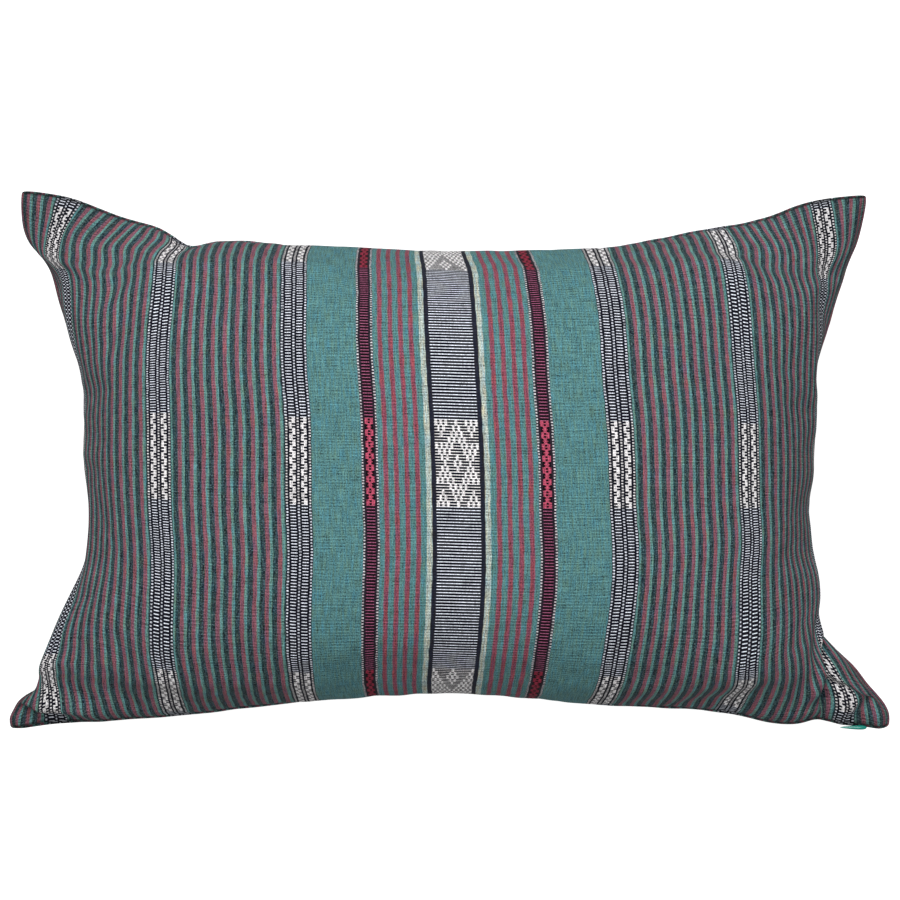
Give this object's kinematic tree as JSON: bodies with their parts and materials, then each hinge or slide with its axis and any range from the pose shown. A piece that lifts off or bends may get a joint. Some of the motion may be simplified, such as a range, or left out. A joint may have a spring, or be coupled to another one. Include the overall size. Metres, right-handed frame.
{
  "type": "lumbar cushion",
  "caption": "Plump oblong cushion in hand-woven striped cloth, knife-edge seam with pulled-out corners, lying on its back.",
  "frame": {"origin": "on the floor, under the middle of the cushion's outline", "axes": "+X along the long side, +Y up the face, +Z out of the face, away from the floor"},
  "size_m": [0.6016, 0.3678, 0.1875],
  "materials": {
    "striped_cloth": "matt plain-weave cotton in teal, dark green, red and navy stripes with raised white supplementary bands",
    "enamelled_metal": "glossy turquoise enamel"
  },
  "bodies": {
    "root": {"filled_cover": "striped_cloth", "zip_pull": "enamelled_metal"}
  },
  "joints": []
}
